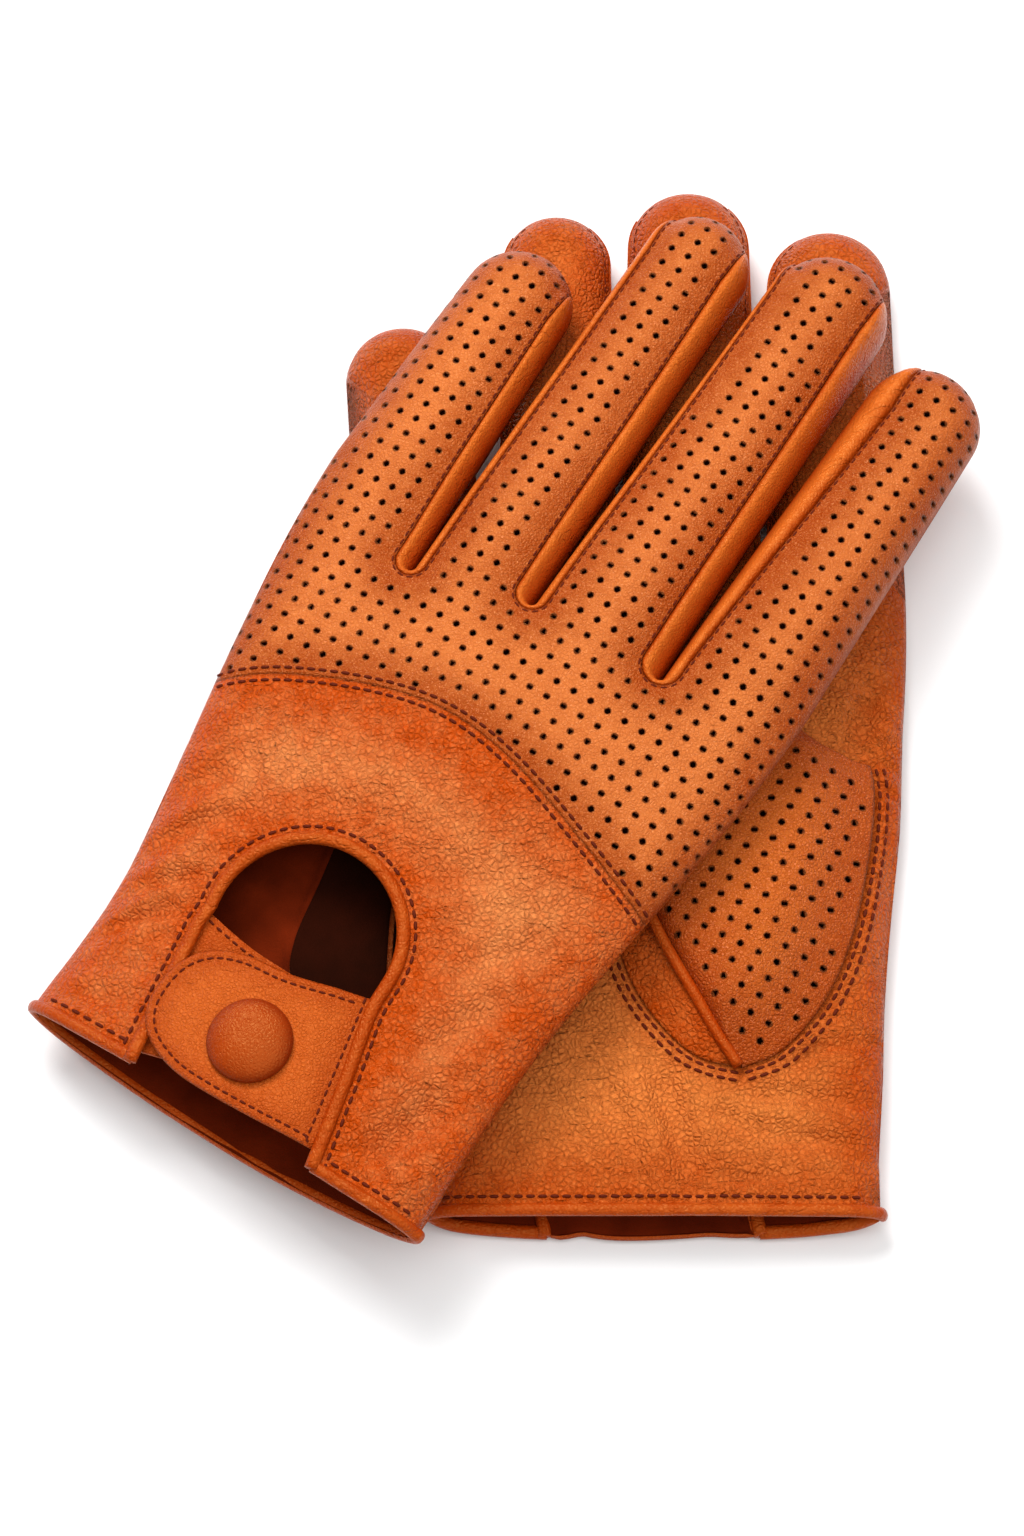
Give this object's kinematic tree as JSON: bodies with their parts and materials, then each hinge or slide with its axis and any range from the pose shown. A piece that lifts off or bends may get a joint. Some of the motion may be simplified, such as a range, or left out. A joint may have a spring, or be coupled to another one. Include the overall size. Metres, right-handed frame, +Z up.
{
  "type": "leather driving gloves",
  "caption": "Leather driving gloves with perforated backs, wrist windows and snap straps, lying crossed: the lower glove palm up, the upper glove back up.",
  "frame": {"origin": "on the surface that the pair lies on, under the middle of the pair's box", "axes": "+Y along the lower glove towards its fingertips, +X towards its index finger, +Z up"},
  "size_m": [0.206, 0.2486, 0.0362],
  "materials": {
    "perforated_leather": "cognac sheepskin with a fine sparkling grain, punched with small round holes",
    "plain_leather": "cognac sheepskin with a pebbled grain and soft creases, satin",
    "smooth_leather": "cognac leather, smooth rolled edges and rolls between the fingers, satin",
    "strap_leather": "cognac leather with a fine tight grain",
    "snap_brass": "polished brass snap parts"
  },
  "bodies": {
    "right_glove": {"right_back_panel": "perforated_leather", "right_cuff_panel": "plain_leather", "right_palm_panel": "plain_leather", "right_fourchette_little": "smooth_leather", "right_fourchette_middle": "smooth_leather", "right_fourchette_index": "smooth_leather", "right_thumb": "perforated_leather", "right_thumb_gusset": "plain_leather", "right_keyhole_binding": "smooth_leather", "right_cuff_binding": "smooth_leather", "right_under_tab": "strap_leather", "right_snap_stud": "snap_brass", "right_snap_rivet": "snap_brass"},
    "right_strap": {"right_strap": "strap_leather", "right_snap_cap": "smooth_leather", "right_snap_socket": "snap_brass"},
    "left_glove": {"left_back_panel": "perforated_leather", "left_cuff_panel": "plain_leather", "left_palm_panel": "plain_leather", "left_fourchette_little": "smooth_leather", "left_fourchette_middle": "smooth_leather", "left_fourchette_index": "smooth_leather", "left_thumb": "perforated_leather", "left_thumb_gusset": "plain_leather", "left_keyhole_binding": "smooth_leather", "left_cuff_binding": "smooth_leather", "left_under_tab": "strap_leather", "left_snap_stud": "snap_brass", "left_snap_rivet": "snap_brass"},
    "left_strap": {"left_strap": "strap_leather", "left_snap_cap": "smooth_leather", "left_snap_socket": "snap_brass"}
  },
  "joints": [
    {"name": "left_glove_lift", "type": "slide", "parent": "right_glove", "child": "left_glove", "axis": [0, 0, 1], "range_m": [0, 0.15]},
    {"name": "left_strap_hinge", "type": "hinge", "parent": "left_glove", "child": "left_strap", "pos_m": [-0.03766, -0.09061, 0.03066], "axis": [0.3632, 0.9315, 0.0184], "range_deg": [0, 130]},
    {"name": "right_strap_hinge", "type": "hinge", "parent": "right_glove", "child": "right_strap", "pos_m": [0.04435, -0.09525, 0.0009], "axis": [0.1938, -0.981, 0], "range_deg": [0, 130]}
  ]
}
